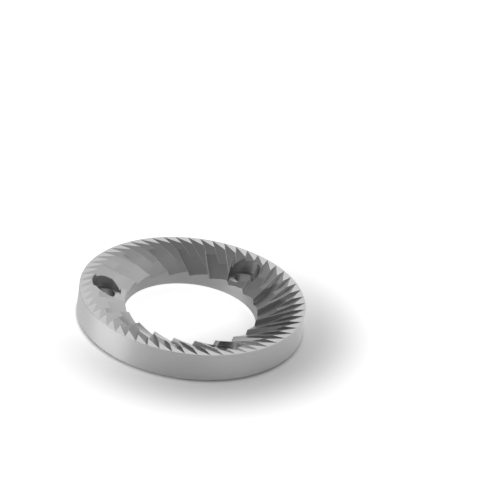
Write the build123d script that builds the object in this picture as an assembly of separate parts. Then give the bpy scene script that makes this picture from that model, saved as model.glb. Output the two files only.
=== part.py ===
from build123d import *
import math
import os

# Flat burr ring of a coffee grinder: one piece of hardened steel.
# Frame: the ring's axis is Z, the origin is on the axis in the seating plane, the teeth point to +Z.
# Lengths are millimetres. Angles are degrees, counter-clockwise from +X seen from the toothed side.

# Ring blank
outer_diameter = 64.0
bore_diameter = 37.5
ring_height = 8.6
rim_chamfer = 0.8
bore_chamfer = 0.3

# Back face: a seating ring outside, a relief groove, and a land around the bore that stays clear of the seat
seat_inner_diameter = 55.0
groove_depth = 1.5
land_clearance = 0.7

# Screw holes, with flat recesses for the heads on the toothed side and a shallow spot on the back
screw_count = 3
screw_circle_diameter = 49.0
first_screw_angle = 60.0
screw_hole_diameter = 5.3
head_recess_diameter = 8.5
head_seat_height = 4.2
back_spot_diameter = 6.8
back_spot_depth = 0.35

# Fine teeth: straight V grooves that start with no depth at the top edge of the rim.
# Skew turns a groove clockwise from the inward radius, fall is its slope down towards the bore,
# the gentle face rises to the clockwise side, and the steep face leans this much from upright.
fine_count = 56
fine_phase = 4.58
fine_skew = 23.3
fine_fall = 12.1
fine_gentle_angle = 23.5
fine_steep_lean = 14.0

# Coarse teeth: V grooves whose roots curve like the edge of a disc, deepest at the bore
coarse_count = 20
coarse_phase = 9.49
coarse_skew = 27.2
coarse_fall_at_bore = 15.6
coarse_gentle_angle = 25.2
coarse_steep_lean = 22.5
coarse_disc_radius = 34.0
coarse_root_height = 3.7

# Cutters run past what they cut
overrun = 1.0
disc_sweep_inward = 20.0
disc_sweep_outward = 24.0

outer_radius = outer_diameter / 2
bore_radius = bore_diameter / 2
seat_inner_radius = seat_inner_diameter / 2
screw_circle_radius = screw_circle_diameter / 2
cutter_height = ring_height + overrun


def tangent(angle):
    return math.tan(math.radians(angle))


def heading(angle, rise=0.0):
    """Horizontal unit vector at this angle, with an upward part added."""
    return Vector(math.cos(math.radians(angle)), math.sin(math.radians(angle)), rise)


def around(shape, count, first_angle):
    """Copies of a shape at equal angles around the ring's axis."""
    return [Rot(0, 0, first_angle + i * 360 / count) * shape for i in range(count)]


def ring_blank():
    """Turned blank. The land's outer edge runs through the screw centres."""
    section = [
        (bore_radius, ring_height),
        (bore_radius, land_clearance + bore_chamfer),
        (bore_radius + bore_chamfer, land_clearance),
        (screw_circle_radius, land_clearance),
        (screw_circle_radius, groove_depth),
        (seat_inner_radius, groove_depth),
        (seat_inner_radius, 0.0),
        (outer_radius - rim_chamfer, 0.0),
        (outer_radius, rim_chamfer),
        (outer_radius, ring_height),
    ]
    return revolve(Plane.XZ * make_face(Polyline(section, close=True)), Axis.Z)


def fine_groove():
    """Cutter for the fine groove that starts at the rim at angle 0."""
    run = heading(180 + fine_skew, -tangent(fine_fall))
    across = heading(fine_skew - 90)
    start = Vector(outer_radius, 0, ring_height) - run * overrun
    pitch_at_rim = 2 * math.pi * outer_radius / fine_count
    width = pitch_at_rim + overrun
    sideways = outer_radius * math.sin(math.radians(fine_skew))
    length_to_bore = outer_radius * math.cos(math.radians(fine_skew)) - math.sqrt(bore_radius**2 - sideways**2)
    section = [
        (0.0, 0.0),
        (width, width * tangent(fine_gentle_angle)),
        (width, cutter_height),
        (-cutter_height * tangent(fine_steep_lean), cutter_height),
    ]
    face = Face(Wire.make_polygon([start + across * w + Vector(0, 0, h) for w, h in section]))
    return Solid.extrude(face, run * (length_to_bore + 2 * overrun))


def coarse_groove():
    """Cutter for the coarse groove that ends in the bore at angle 0: a sector of a disc with a V edge."""
    across = heading(coarse_skew - 90)
    outward = heading(coarse_skew)

    def spoke(angle):
        return outward * math.sin(math.radians(angle)) - Vector(0, 0, math.cos(math.radians(angle)))

    root_at_bore = Vector(bore_radius, 0, coarse_root_height)
    centre = root_at_bore - spoke(coarse_fall_at_bore) * coarse_disc_radius
    first_spoke = spoke(coarse_fall_at_bore - disc_sweep_inward)
    pitch_at_screws = 2 * math.pi * screw_circle_radius / coarse_count
    width = pitch_at_screws + overrun
    section = [
        (0.0, coarse_disc_radius),
        (width, coarse_disc_radius - width * tangent(coarse_gentle_angle)),
        (width, coarse_disc_radius - cutter_height),
        (-cutter_height * tangent(coarse_steep_lean), coarse_disc_radius - cutter_height),
    ]
    face = Face(Wire.make_polygon([centre + across * w + first_spoke * r for w, r in section]))
    return Solid.revolve(face, disc_sweep_inward + disc_sweep_outward, Axis(centre, across))


def screw_hole():
    """Cutter for one screw hole, standing on the seating plane at the origin."""
    upright = (Align.CENTER, Align.CENTER, Align.MIN)
    shank = Cylinder(screw_hole_diameter / 2, cutter_height, align=upright)
    head = Pos(0, 0, head_seat_height) * Cylinder(head_recess_diameter / 2, cutter_height, align=upright)
    spot = Cylinder(back_spot_diameter / 2, land_clearance + back_spot_depth, align=upright)
    return shank + head + spot


burr = ring_blank()
for cutter in around(coarse_groove(), coarse_count, coarse_phase):
    burr -= cutter
for cutter in around(fine_groove(), fine_count, fine_phase):
    burr -= cutter
for cutter in around(Pos(screw_circle_radius, 0, 0) * screw_hole(), screw_count, first_screw_angle):
    burr -= cutter

os.makedirs("parts", exist_ok=True)
export_step(burr, "parts/burr_ring.step")
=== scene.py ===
import math

import bpy
from mathutils import Matrix, Quaternion, Vector

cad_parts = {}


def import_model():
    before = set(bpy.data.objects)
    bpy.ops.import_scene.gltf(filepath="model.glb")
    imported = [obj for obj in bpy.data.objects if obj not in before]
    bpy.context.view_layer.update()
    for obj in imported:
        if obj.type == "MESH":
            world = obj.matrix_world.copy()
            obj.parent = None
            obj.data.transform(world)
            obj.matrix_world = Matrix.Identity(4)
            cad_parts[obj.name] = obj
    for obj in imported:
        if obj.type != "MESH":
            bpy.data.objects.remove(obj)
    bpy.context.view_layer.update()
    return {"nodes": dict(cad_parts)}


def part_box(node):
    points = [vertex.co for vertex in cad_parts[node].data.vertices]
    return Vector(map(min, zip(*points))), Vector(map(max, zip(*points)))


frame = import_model()
ring = frame["nodes"]["burr_ring"]

# Lengths are metres, angles degrees. The ring's axis is Z and its teeth point up.
low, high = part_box("burr_ring")
OUTER_RADIUS = high.x
BORE_RADIUS = 0.01875
# Radius of the circle round the axis that the lines of the grooves touch
GROOVE_CIRCLE = 0.0115

# Camera: direction from the ring to the camera, roll, and where the frame's origin falls in the image
VIEW_AZIMUTH = -85.5
VIEW_ELEVATION = 30.97
VIEW_ROLL = 7.5
VIEW_DISTANCE = 1.1277
AIM_HEIGHT = 0.00023
IMAGE_PX = 500
FOCAL_PX = 4000
ORIGIN_PX = (189.45, 320.1)
SENSOR_WIDTH_MM = 36
VIEW_REACH = 10

# Edges are broken by this much, where faces meet at more than the sharp angle. Flatter edges of the teeth,
# down to the crease angle, stay crisp. Walls are round.
EDGE_BREAK = 0.00004
EDGE_SEGMENTS = 2
SHARP_ANGLE = 20
CREASE_ANGLE = 5
WALL_LEAN = 0.05
WELD_DISTANCE = 0.0000005
FLAT_ANGLE = 0.4
LARGE_FACE_WEIGHT = 100

# Finishes: colour, roughness, anisotropy. Teeth and lands are ground along the grooves; the steep flanks are
# a little rougher and darker, and their darker colour is painted shade. The outer wall is ground round the
# axis, and the bore, the holes and the back are turned.
# Edges are worn bright.
GROUND = (0.58, 0.32, 0.3)
# The flanks' darker colour is painted shade on the same ground steel
FLANK_PAINTED_SHADE = (0.42, 0.34, 0.3)
RIM = (0.75, 0.54, 0.88)
TURNED = (0.49, 0.52, 0.88)
WORN = (0.66, 0.3, 0.0)
# A face is a wall or the back where its normal points up by less than the first value, and a flank up to the
# second. Walls belong to the rim outside this share of the outer radius.
TURNED_BELOW = 0.1
FLANK_BELOW = 0.5
RIM_FROM = 0.98

# Marks, blotches and grain in the steel: noise cells per metre, the middle span of the noise that is used,
# and how far it moves the colour, the roughness and the surface
MARKS_PER_M = 5000
BLOTCHES_PER_M = 160
GRAIN_PER_M = 4000
NOISE_SPAN = (0.3, 0.7)
MARKS_IN_COLOUR = 0.014
BLOTCHES_IN_COLOUR = 0.012
BLOTCHES_IN_ROUGHNESS = 0.02
GRAIN_IN_ROUGHNESS = 0.015
BUMP_HEIGHT = 0.0000006
GRAIN_IN_BUMP = 0.5
# Marks are drawn out: metres per radian round the axis, and shares of the real length along and up a groove.
# They run level on faces whose normal points up or down by less than the last value.
MARKS_ROUND = 0.0006
MARKS_ALONG = 0.03
MARKS_UP = 0.2
UPRIGHT_BELOW = 0.5

# Light panels: azimuth clockwise from straight behind the ring as the camera sees it, elevation,
# width, height, radiance
PANEL_DISTANCE = 0.7
PANELS = {
    "back": (0, 31, 0.45, 0.40, 0.86),
    "back_right": (34, 24, 0.36, 0.55, 0.52),
    "right": (62, 56, 0.50, 0.50, 0.54),
    "left": (257, 17, 0.52, 0.50, 1.65),
    "top": (90, 84, 0.40, 0.40, 0.24),
    "front_left": (225, 25, 0.55, 0.45, 0.32),
    "front": (180, 25, 0.50, 0.45, 0.14),
    "front_right": (135, 25, 0.55, 0.45, 0.32),
}
# Room: radiance on the camera's side and behind the ring, and the span of directions between them
WORLD_FRONT = 0.06
WORLD_BACK = 0.26
WORLD_SPAN = (-0.6, 0.8)

# Floor: its glow is what the camera and the metal see besides lamp light. The glow holds painted light and
# shade: brighter near the ring on the lit side, a painted shadow on the shade side of the ring and of the
# bore, and a painted contact shadow that goes dark under the ring.
FLOOR_SIZE = 6.0
FLOOR_COLOUR = 0.86
FLOOR_GLOW_BORE = 0.74
FLOOR_GLOW_BORE_SHADE = 0.42
FLOOR_GLOW_LIT_SIDE = 0.84
FLOOR_GLOW_SHADE_SIDE = 0.17
FLOOR_GLOW_FAR = 0.72
# The shade side as the camera sees it, like the panels' azimuths
FLOOR_SHADE_AZIMUTH = 135
# Radii where the glow changes, from the bore outwards
FLOOR_BORE_TO = 0.026
FLOOR_DARK_TO = 0.0312
FLOOR_NEAR_TO = 0.033
FLOOR_FAR_FROM = 0.056


def direction(azimuth, elevation):
    """Unit vector at this azimuth, counter-clockwise from +X, and elevation."""
    a, e = math.radians(azimuth), math.radians(elevation)
    return Vector((math.cos(a) * math.cos(e), math.sin(a) * math.cos(e), math.sin(e)))


def link(obj):
    bpy.context.scene.collection.objects.link(obj)
    return obj


class Shader:
    """Short calls for building a node tree."""

    def __init__(self, tree):
        self.tree = tree
        tree.nodes.clear()

    def node(self, kind, **settings):
        made = self.tree.nodes.new("ShaderNode" + kind)
        for name, value in settings.items():
            setattr(made, name, value)
        return made

    def put(self, socket, value):
        if isinstance(value, bpy.types.NodeSocket):
            self.tree.links.new(value, socket)
        elif value is not None:
            socket.default_value = value

    def math(self, operation, *values):
        made = self.node("Math", operation=operation)
        for socket, value in zip(made.inputs, values):
            self.put(socket, value)
        return made.outputs[0]

    def vector(self, operation, *values):
        made = self.node("VectorMath", operation=operation)
        for socket, value in zip(made.inputs, values):
            self.put(socket, value)
        return made.outputs["Value" if operation in ("DOT_PRODUCT", "LENGTH") else "Vector"]

    def combine(self, x, y, z):
        made = self.node("CombineXYZ")
        for socket, value in zip(made.inputs, (x, y, z)):
            self.put(socket, value)
        return made.outputs[0]

    def noise(self, vector, scale):
        made = self.node("TexNoise")
        self.put(made.inputs["Vector"], vector)
        made.inputs["Scale"].default_value = scale
        return made.outputs["Fac"]

    def sway(self, noise, size):
        """Noise as a value between minus and plus this size."""
        return self.ramp(noise, *NOISE_SPAN, -size, size)

    def ramp(self, value, from_low, from_high, to_low, to_high, smooth=False):
        made = self.node("MapRange", interpolation_type="SMOOTHSTEP" if smooth else "LINEAR")
        for socket, item in zip(made.inputs, (value, from_low, from_high, to_low, to_high)):
            self.put(socket, item)
        return made.outputs[0]

    def mix(self, factor, a, b):
        made = self.node("Mix", data_type="FLOAT")
        for name, value in (("Factor", factor), ("A", a), ("B", b)):
            self.put(made.inputs[name], value)
        return made.outputs[0]

    def mix_vectors(self, factor, a, b):
        made = self.node("Mix", data_type="VECTOR")
        self.put(made.inputs[0], factor)
        self.put(made.inputs[4], a)
        self.put(made.inputs[5], b)
        return made.outputs[1]


def steel(name, finish, round_axis=True):
    """Steel with fine marks, round the axis or along the grooves."""
    colour_level, roughness_level, anisotropy = finish
    material = bpy.data.materials.new(name)
    material.use_nodes = True
    s = Shader(material.node_tree)
    out = s.node("OutputMaterial")
    shader = s.node("BsdfPrincipled")
    s.put(out.inputs["Surface"], shader.outputs[0])

    place = s.node("TexCoord").outputs["Object"]
    split = s.node("SeparateXYZ")
    s.put(split.inputs[0], place)
    x, y, z = split.outputs
    radius = s.math("SQRT", s.math("ADD", s.math("MULTIPLY", x, x), s.math("MULTIPLY", y, y)))
    angle = s.math("ARCTAN2", y, x)

    # Highlights spread across the marks
    if round_axis:
        normal = s.node("SeparateXYZ")
        s.put(normal.inputs[0], s.node("NewGeometry").outputs["Normal"])
        upright = s.math("LESS_THAN", s.math("ABSOLUTE", normal.outputs[2]), UPRIGHT_BELOW)
        outward = s.vector("NORMALIZE", s.combine(x, y, 0.0))
        tangent = s.mix_vectors(upright, outward, (0.0, 0.0, 1.0))
        marks_at = s.combine(s.math("ADD", z, radius), s.math("MULTIPLY", angle, MARKS_ROUND), 0.0)
    else:
        # A groove is tangent to a circle round the axis, and keeps the angle of the touching point all along
        turn_off = s.math("ARCCOSINE", s.math("MINIMUM", s.math("DIVIDE", GROOVE_CIRCLE, radius), 1.0))
        groove_angle = s.math("SUBTRACT", angle, turn_off)
        tangent = s.combine(s.math("COSINE", groove_angle), s.math("SINE", groove_angle), 0.0)
        across = s.math("MULTIPLY", groove_angle, OUTER_RADIUS)
        marks_at = s.combine(across, s.math("MULTIPLY", radius, MARKS_ALONG), s.math("MULTIPLY", z, MARKS_UP))
    s.put(shader.inputs["Tangent"], tangent)
    shader.inputs["Anisotropic"].default_value = anisotropy
    shader.inputs["Metallic"].default_value = 1.0

    marks = s.noise(marks_at, MARKS_PER_M)
    blotches = s.noise(place, BLOTCHES_PER_M)
    grain = s.noise(place, GRAIN_PER_M)

    tone = s.math("ADD", s.sway(blotches, BLOTCHES_IN_COLOUR), s.sway(marks, MARKS_IN_COLOUR))
    level = s.math("ADD", tone, colour_level)
    colour = s.node("CombineColor")
    for socket in colour.inputs:
        s.put(socket, level)
    s.put(shader.inputs["Base Color"], colour.outputs[0])

    uneven = s.math("ADD", s.sway(blotches, BLOTCHES_IN_ROUGHNESS), s.sway(grain, GRAIN_IN_ROUGHNESS))
    s.put(shader.inputs["Roughness"], s.math("ADD", uneven, roughness_level))

    bump = s.node("Bump")
    bump.inputs["Strength"].default_value = 1.0
    bump.inputs["Distance"].default_value = BUMP_HEIGHT
    s.put(bump.inputs["Height"], s.math("ADD", marks, s.math("MULTIPLY", grain, GRAIN_IN_BUMP)))
    s.put(shader.inputs["Normal"], bump.outputs[0])
    return material


def geometry_group(name):
    """Empty modifier tree with its way in and way out."""
    tree = bpy.data.node_groups.new(name, "GeometryNodeTree")
    for way in ("INPUT", "OUTPUT"):
        tree.interface.new_socket("Geometry", in_out=way, socket_type="NodeSocketGeometry")
    return tree, tree.nodes.new("NodeGroupInput"), tree.nodes.new("NodeGroupOutput")


def up_part(tree):
    """Upward part of each face's normal."""
    normal, split = tree.nodes.new("GeometryNodeInputNormal"), tree.nodes.new("ShaderNodeSeparateXYZ")
    tree.links.new(normal.outputs["True Normal"], split.inputs[0])
    return split.outputs["Z"]


def compare(tree, operation, value, limit):
    made = tree.nodes.new("FunctionNodeCompare")
    made.operation = operation
    tree.links.new(value, made.inputs[0])
    made.inputs[1].default_value = limit
    return made.outputs[0]


def creases():
    """Keep the edges between tooth faces crisp, and walls smooth."""
    tree, start, end = geometry_group("creases")
    size = tree.nodes.new("ShaderNodeMath")
    size.operation = "ABSOLUTE"
    tree.links.new(up_part(tree), size.inputs[0])
    faces = tree.nodes.new("GeometryNodeFieldOnDomain")
    faces.domain = "FACE"
    tree.links.new(size.outputs[0], faces.inputs[0])
    bend = tree.nodes.new("GeometryNodeInputMeshEdgeAngle")
    both = tree.nodes.new("FunctionNodeBooleanMath")
    both.operation = "AND"
    tree.links.new(compare(tree, "GREATER_THAN", faces.outputs[0], WALL_LEAN), both.inputs[0])
    tree.links.new(compare(tree, "GREATER_THAN", bend.outputs[0], math.radians(CREASE_ANGLE)), both.inputs[1])
    crisp = tree.nodes.new("GeometryNodeSetShadeSmooth")
    crisp.domain = "EDGE"
    crisp.inputs["Shade Smooth"].default_value = False
    tree.links.new(start.outputs[0], crisp.inputs["Geometry"])
    tree.links.new(both.outputs[0], crisp.inputs["Selection"])
    tree.links.new(crisp.outputs[0], end.inputs[0])
    return tree


def finish_by_face(shaded_flank, rim, turned):
    """Give flanks their darker steel, which is painted shade, and the outer wall, and other walls and the
    back their own finishes.
    """
    tree, start, end = geometry_group("finish_by_face")
    place, flat, away = [tree.nodes.new(kind) for kind in
                         ("GeometryNodeInputPosition", "ShaderNodeVectorMath", "ShaderNodeVectorMath")]
    flat.operation, away.operation = "MULTIPLY", "LENGTH"
    flat.inputs[1].default_value = (1, 1, 0)
    tree.links.new(place.outputs[0], flat.inputs[0])
    tree.links.new(flat.outputs[0], away.inputs[0])
    outside = compare(tree, "GREATER_THAN", away.outputs["Value"], OUTER_RADIUS * RIM_FROM)
    up = up_part(tree)
    steep = compare(tree, "LESS_THAN", up, FLANK_BELOW)
    wall = compare(tree, "LESS_THAN", up, TURNED_BELOW)
    both = tree.nodes.new("FunctionNodeBooleanMath")
    both.operation = "AND"
    tree.links.new(wall, both.inputs[0])
    tree.links.new(outside, both.inputs[1])
    shape = start.outputs[0]
    # Steep faces get the flank steel, whose darker colour is painted shade
    for material, where in ((shaded_flank, steep), (turned, wall), (rim, both.outputs[0])):
        paint = tree.nodes.new("GeometryNodeSetMaterial")
        paint.inputs["Material"].default_value = material
        tree.links.new(shape, paint.inputs["Geometry"])
        tree.links.new(where, paint.inputs["Selection"])
        shape = paint.outputs[0]
    smooth = tree.nodes.new("GeometryNodeSetShadeSmooth")
    tree.links.new(shape, smooth.inputs["Geometry"])
    tree.links.new(smooth.outputs[0], end.inputs[0])
    return tree


def dress(ring):
    """Break the ring's edges and give each face its finish. The CAD mesh itself stays as it is."""
    ground = steel("ground_steel", GROUND, round_axis=False)
    # Flank steel is ground steel with a darker colour: painted shade on the steep flanks
    shaded_flank = steel("flank_steel_painted_shade", FLANK_PAINTED_SHADE, round_axis=False)
    rim, turned, worn = steel("rim_steel", RIM), steel("turned_steel", TURNED), steel("worn_edge_steel", WORN)
    slots = ring.data.materials
    slots.clear()
    for material in (ground, shaded_flank, rim, turned, worn):
        slots.append(material)

    weld = ring.modifiers.new("weld", "WELD")
    weld.merge_threshold = WELD_DISTANCE
    flats = ring.modifiers.new("whole_faces", "DECIMATE")
    flats.decimate_type = "DISSOLVE"
    flats.angle_limit = math.radians(FLAT_ANGLE)
    ring.modifiers.new("creases", "NODES").node_group = creases()
    ring.modifiers.new("finish_by_face", "NODES").node_group = finish_by_face(shaded_flank, rim, turned)
    edges = ring.modifiers.new("broken_edges", "BEVEL")
    edges.width = EDGE_BREAK
    edges.segments = EDGE_SEGMENTS
    edges.limit_method = "ANGLE"
    edges.angle_limit = math.radians(SHARP_ANGLE)
    edges.use_clamp_overlap = False
    edges.material = slots.find(worn.name)
    shading = ring.modifiers.new("flat_faces_shade_flat", "WEIGHTED_NORMAL")
    shading.mode = "FACE_AREA"
    shading.weight = LARGE_FACE_WEIGHT
    shading.keep_sharp = True


def floor():
    """Pale floor, lifted to white in what the camera and the metal see, with the lamps' shadow of the ring
    left on it and painted light and shade in the lift.
    """
    mesh = bpy.data.meshes.new("floor")
    half = FLOOR_SIZE / 2
    corners = [(-half, -half, 0), (half, -half, 0), (half, half, 0), (-half, half, 0)]
    mesh.from_pydata(corners, [], [(0, 1, 2, 3)])
    made = link(bpy.data.objects.new("floor", mesh))
    made.location.z = low.z
    material = bpy.data.materials.new("floor")
    material.use_nodes = True
    s = Shader(material.node_tree)
    out = s.node("OutputMaterial")
    matt = s.node("BsdfDiffuse")
    matt.inputs["Color"].default_value = (FLOOR_COLOUR, FLOOR_COLOUR, FLOOR_COLOUR, 1)
    path = s.node("LightPath")
    seen = s.math("MAXIMUM", path.outputs["Is Camera Ray"], path.outputs["Is Glossy Ray"])
    seen = s.math("MAXIMUM", seen, path.outputs["Is Transmission Ray"])
    glow = s.node("Emission")
    place = s.node("TexCoord").outputs["Object"]
    away = s.vector("LENGTH", place)
    shade = direction(VIEW_AZIMUTH + 180 - FLOOR_SHADE_AZIMUTH, 0)
    towards_shade = s.vector("DOT_PRODUCT", s.vector("NORMALIZE", place), shade)
    # Painted light and shade round the ring: more glow on the lit side, a painted shadow on the shade side
    near = s.ramp(towards_shade, -1.0, 1.0, FLOOR_GLOW_LIT_SIDE, FLOOR_GLOW_SHADE_SIDE, smooth=True)
    # Painted contact shadow: the glow fades to nothing under the ring
    painted_contact_shadow = s.ramp(away, FLOOR_DARK_TO, FLOOR_NEAR_TO, 0.0, near, smooth=True)
    outside = s.ramp(away, FLOOR_NEAR_TO, FLOOR_FAR_FROM, painted_contact_shadow, FLOOR_GLOW_FAR, smooth=True)
    # Painted shadow inside the bore, on its shade side
    aside = s.vector("DOT_PRODUCT", place, shade)
    inside = s.ramp(aside, 0.0, BORE_RADIUS, FLOOR_GLOW_BORE, FLOOR_GLOW_BORE_SHADE, smooth=True)
    lift = s.mix(s.math("LESS_THAN", away, FLOOR_BORE_TO), outside, inside)
    s.put(glow.inputs["Strength"], s.math("MULTIPLY", seen, lift))
    both = s.node("AddShader")
    s.put(both.inputs[0], matt.outputs[0])
    s.put(both.inputs[1], glow.outputs[0])
    s.put(out.inputs["Surface"], both.outputs[0])
    mesh.materials.append(material)


def world():
    """Dim room that is darker on the camera's side."""
    made = bpy.data.worlds.new("room")
    made.use_nodes = True
    bpy.context.scene.world = made
    s = Shader(made.node_tree)
    out = s.node("OutputWorld")
    sky = s.node("Background")
    sky.inputs["Color"].default_value = (1, 1, 1, 1)
    away = -direction(VIEW_AZIMUTH, 0)
    facing = s.vector("DOT_PRODUCT", s.node("TexCoord").outputs["Generated"], away)
    s.put(sky.inputs["Strength"], s.ramp(facing, *WORLD_SPAN, WORLD_FRONT, WORLD_BACK))
    s.put(out.inputs["Surface"], sky.outputs[0])


def panel(name, azimuth, elevation, width, height, radiance):
    """Rectangular soft light that faces the ring."""
    lamp = bpy.data.lights.new(name, "AREA")
    lamp.shape = "RECTANGLE"
    lamp.size, lamp.size_y = width, height
    lamp.energy = radiance * math.pi * width * height
    made = link(bpy.data.objects.new(name, lamp))
    towards = direction(VIEW_AZIMUTH + 180 - azimuth, elevation)
    made.location = towards * PANEL_DISTANCE
    made.rotation_euler = towards.to_track_quat("Z", "Y").to_euler()


def camera():
    lens = bpy.data.cameras.new("camera")
    lens.sensor_width = SENSOR_WIDTH_MM
    lens.lens = SENSOR_WIDTH_MM * FOCAL_PX / IMAGE_PX
    lens.clip_end = VIEW_REACH
    made = link(bpy.data.objects.new("camera", lens))
    towards = direction(VIEW_AZIMUTH, VIEW_ELEVATION)
    level = towards.to_track_quat("Z", "Y")
    roll = Quaternion((0, 0, 1), math.radians(VIEW_ROLL))
    origin_ray = Vector((ORIGIN_PX[0] - IMAGE_PX / 2, IMAGE_PX / 2 - ORIGIN_PX[1], -FOCAL_PX))
    aside = origin_ray.rotation_difference(Vector((0, 0, -1)))
    place = Matrix.Translation(towards * VIEW_DISTANCE + Vector((0, 0, AIM_HEIGHT)))
    made.matrix_world = place @ (level @ roll @ aside).to_matrix().to_4x4()
    bpy.context.scene.camera = made


dress(ring)
floor()
world()
for panel_name, settings in PANELS.items():
    panel(panel_name, *settings)
camera()
bpy.context.scene.view_settings.view_transform = "Standard"
